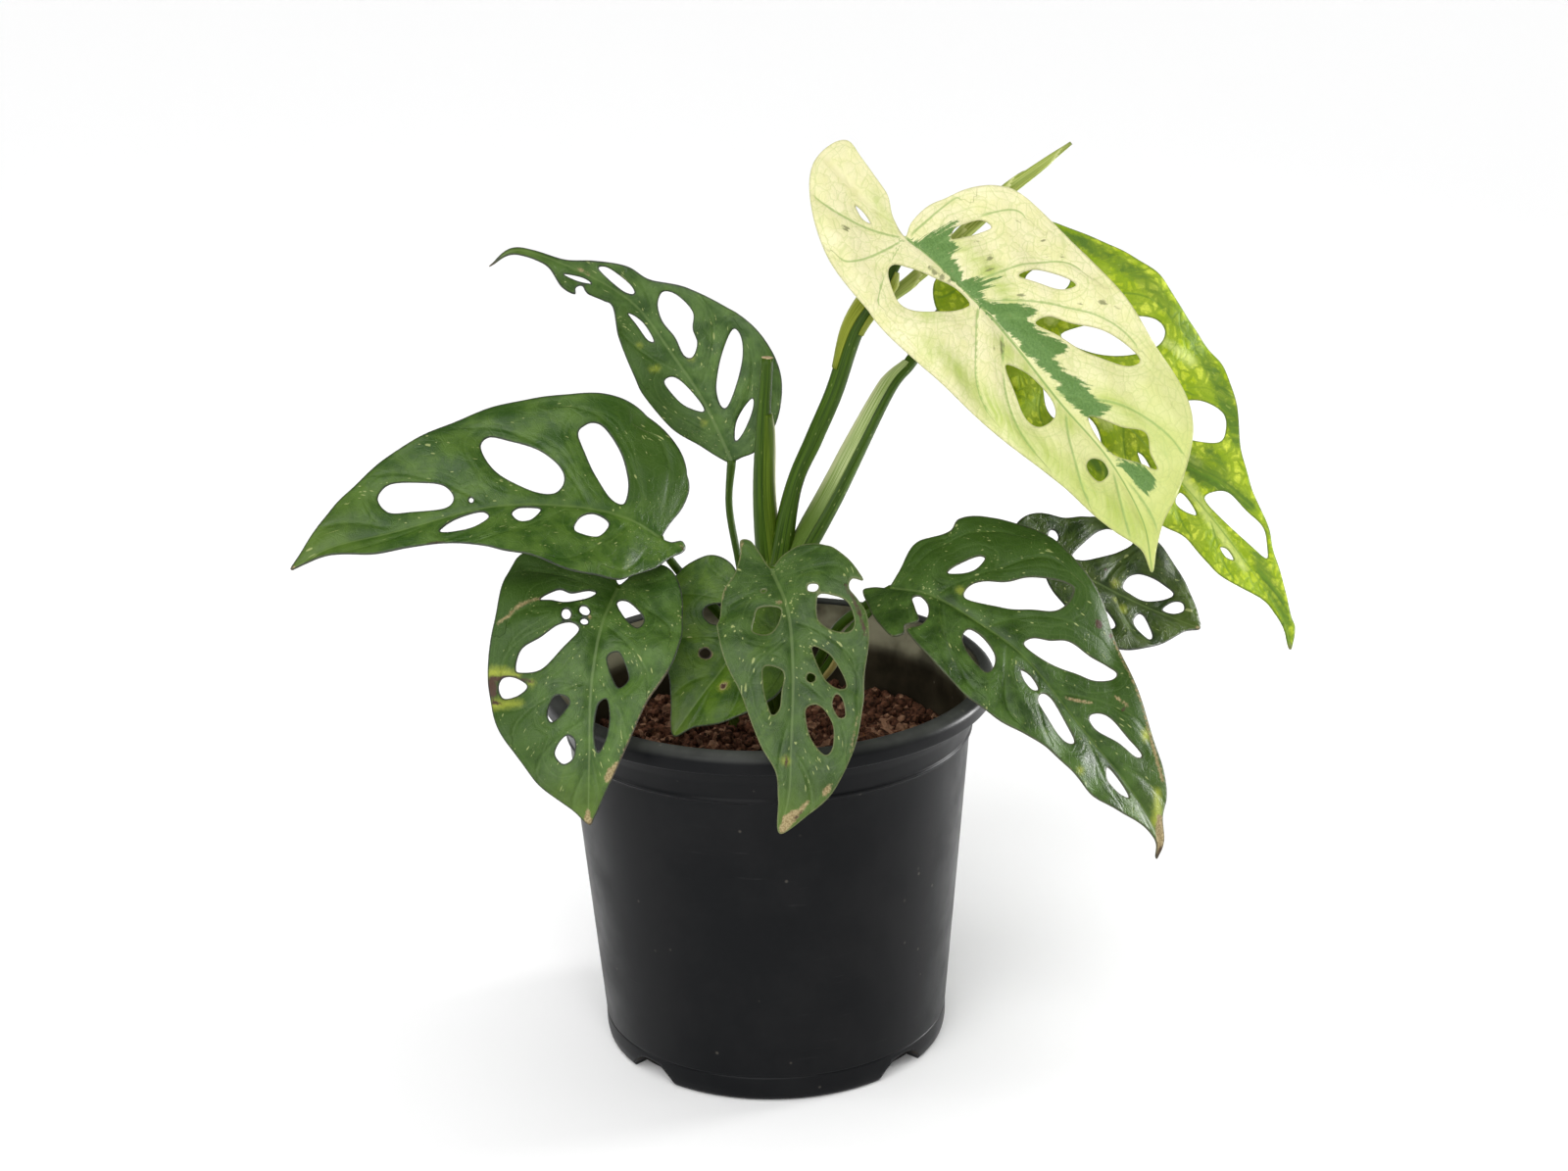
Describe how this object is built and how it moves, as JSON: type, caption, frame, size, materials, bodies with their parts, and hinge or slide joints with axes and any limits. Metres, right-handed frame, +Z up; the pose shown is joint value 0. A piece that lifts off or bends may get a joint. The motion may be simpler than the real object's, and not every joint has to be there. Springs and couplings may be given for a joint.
{
  "type": "monstera adansonii",
  "caption": "Young swiss cheese vine in a round black nursery pot: a short leaning shoot of arched petioles with drooping, pointed leaves full of oval holes, some green, one cream and one lime",
  "frame": {"origin": "Middle of the pot's flat underside, on the surface that it stands on", "axes": "+Z is up along the pot's axis. -Y is the front, the side that the picture shows. +X is to the right seen from the front, the side that the cream and lime leaves reach to."},
  "size_m": [0.3201, 0.1695, 0.3016],
  "materials": {
    "black_plastic": "satin moulded black plastic, dusty inside",
    "soil": "loose red-brown coir chips and bark",
    "stem": "smooth satin green",
    "rolled_leaf": "satin yellow-green",
    "leaf_green": "satin dark green with fine cream flecks",
    "leaf_cream": "satin cream with green sectors",
    "leaf_lime": "satin lime green with dark flecks"
  },
  "bodies": {
    "root": {"pot": "black_plastic", "soil": "soil", "shoot": "stem", "cut_stub": "stem", "rolled_leaf": "rolled_leaf", "leaf_back_left": "leaf_green", "leaf_left": "leaf_green", "leaf_front_left": "leaf_green", "leaf_inner": "leaf_green", "leaf_front": "leaf_green", "leaf_right": "leaf_green", "leaf_back_right": "leaf_green", "leaf_cream": "leaf_cream", "leaf_lime": "leaf_lime"}
  },
  "joints": []
}
